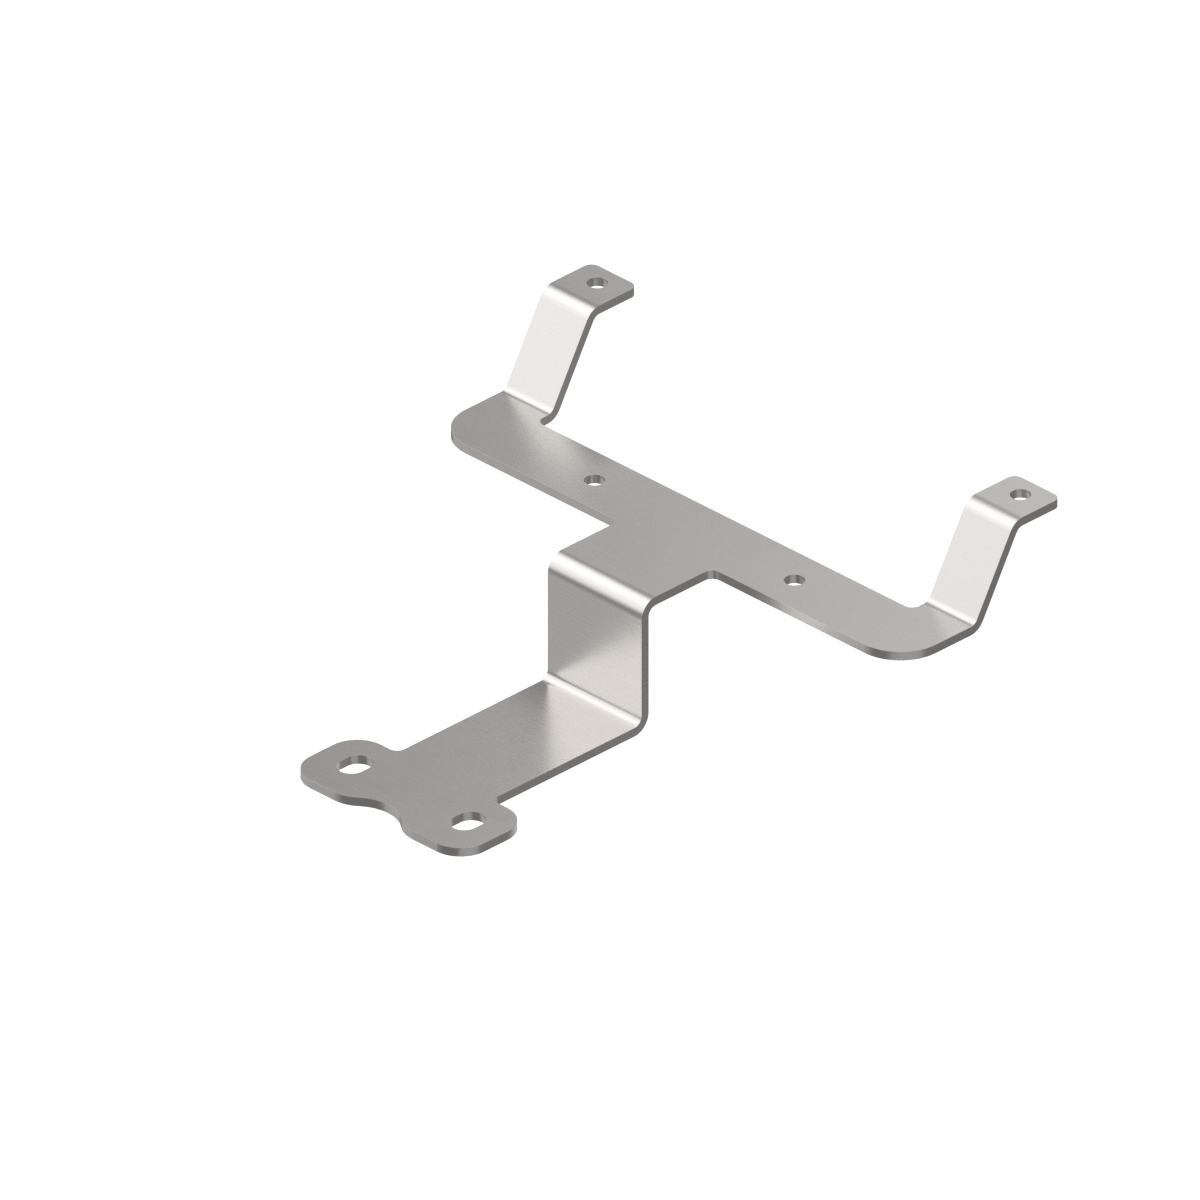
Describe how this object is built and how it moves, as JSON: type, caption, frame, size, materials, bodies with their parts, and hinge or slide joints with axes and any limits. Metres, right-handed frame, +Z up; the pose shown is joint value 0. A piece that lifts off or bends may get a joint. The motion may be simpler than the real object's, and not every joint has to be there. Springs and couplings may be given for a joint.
{
  "type": "wiring harness holder",
  "caption": "Folded sheet-metal bracket that carries a wiring harness above its base, with a slotted foot, a raised cross bar and upturned end tabs.",
  "frame": {"origin": "on the foot's underside, midway between the centres of its slots", "axes": "+X along the cross bar to the right end, +Y from the foot towards the tabs, +Z up from the foot's underside"},
  "size_m": [0.2, 0.1926, 0.0742],
  "materials": {
    "steel_sheet": "satin"
  },
  "bodies": {
    "root": {"bracket": "steel_sheet"}
  },
  "joints": []
}
